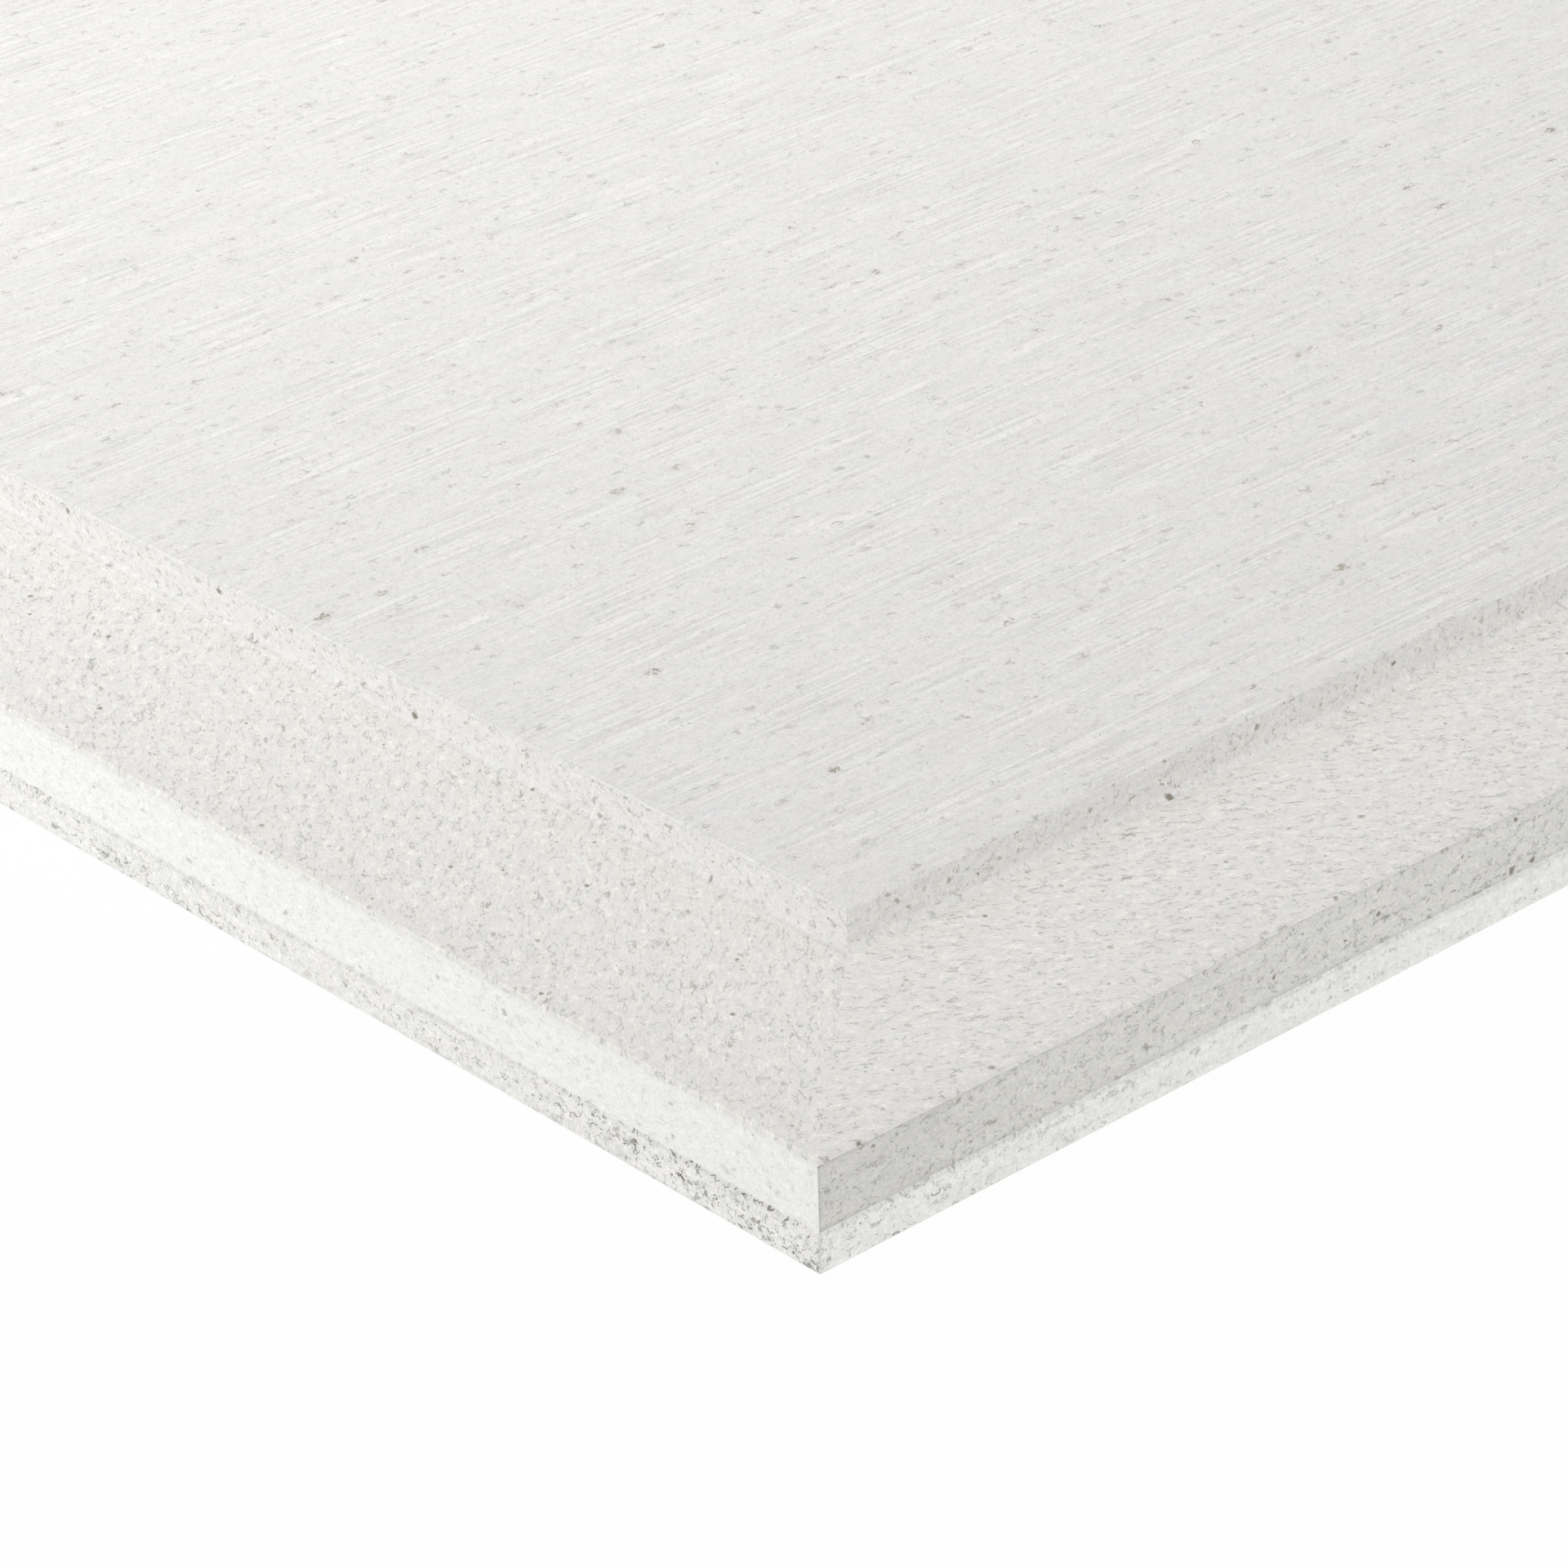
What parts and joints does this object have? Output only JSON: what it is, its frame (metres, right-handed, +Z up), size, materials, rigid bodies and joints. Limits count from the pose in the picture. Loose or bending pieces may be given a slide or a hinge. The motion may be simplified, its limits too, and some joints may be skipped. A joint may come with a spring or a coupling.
{
  "type": "gypsum fibreboard sheet",
  "caption": "Thick rectangular gypsum fibreboard sheet, bare speckled white, with a wide shallow rebate milled round its face and a narrow sawn strip along the foot of each edge.",
  "frame": {"origin": "middle of the underside, on the floor that the sheet lies on", "axes": "+X along the sheet's length, +Y across its width, +Z up through its thickness to the rebated face"},
  "size_m": [1.2, 0.6, 0.018],
  "materials": {
    "gypsum_fibre": "sanded face and milled rebate, matt, with fine grey and brown flecks"
  },
  "bodies": {
    "root": {"fibreboard_sheet": "gypsum_fibre"}
  },
  "joints": []
}
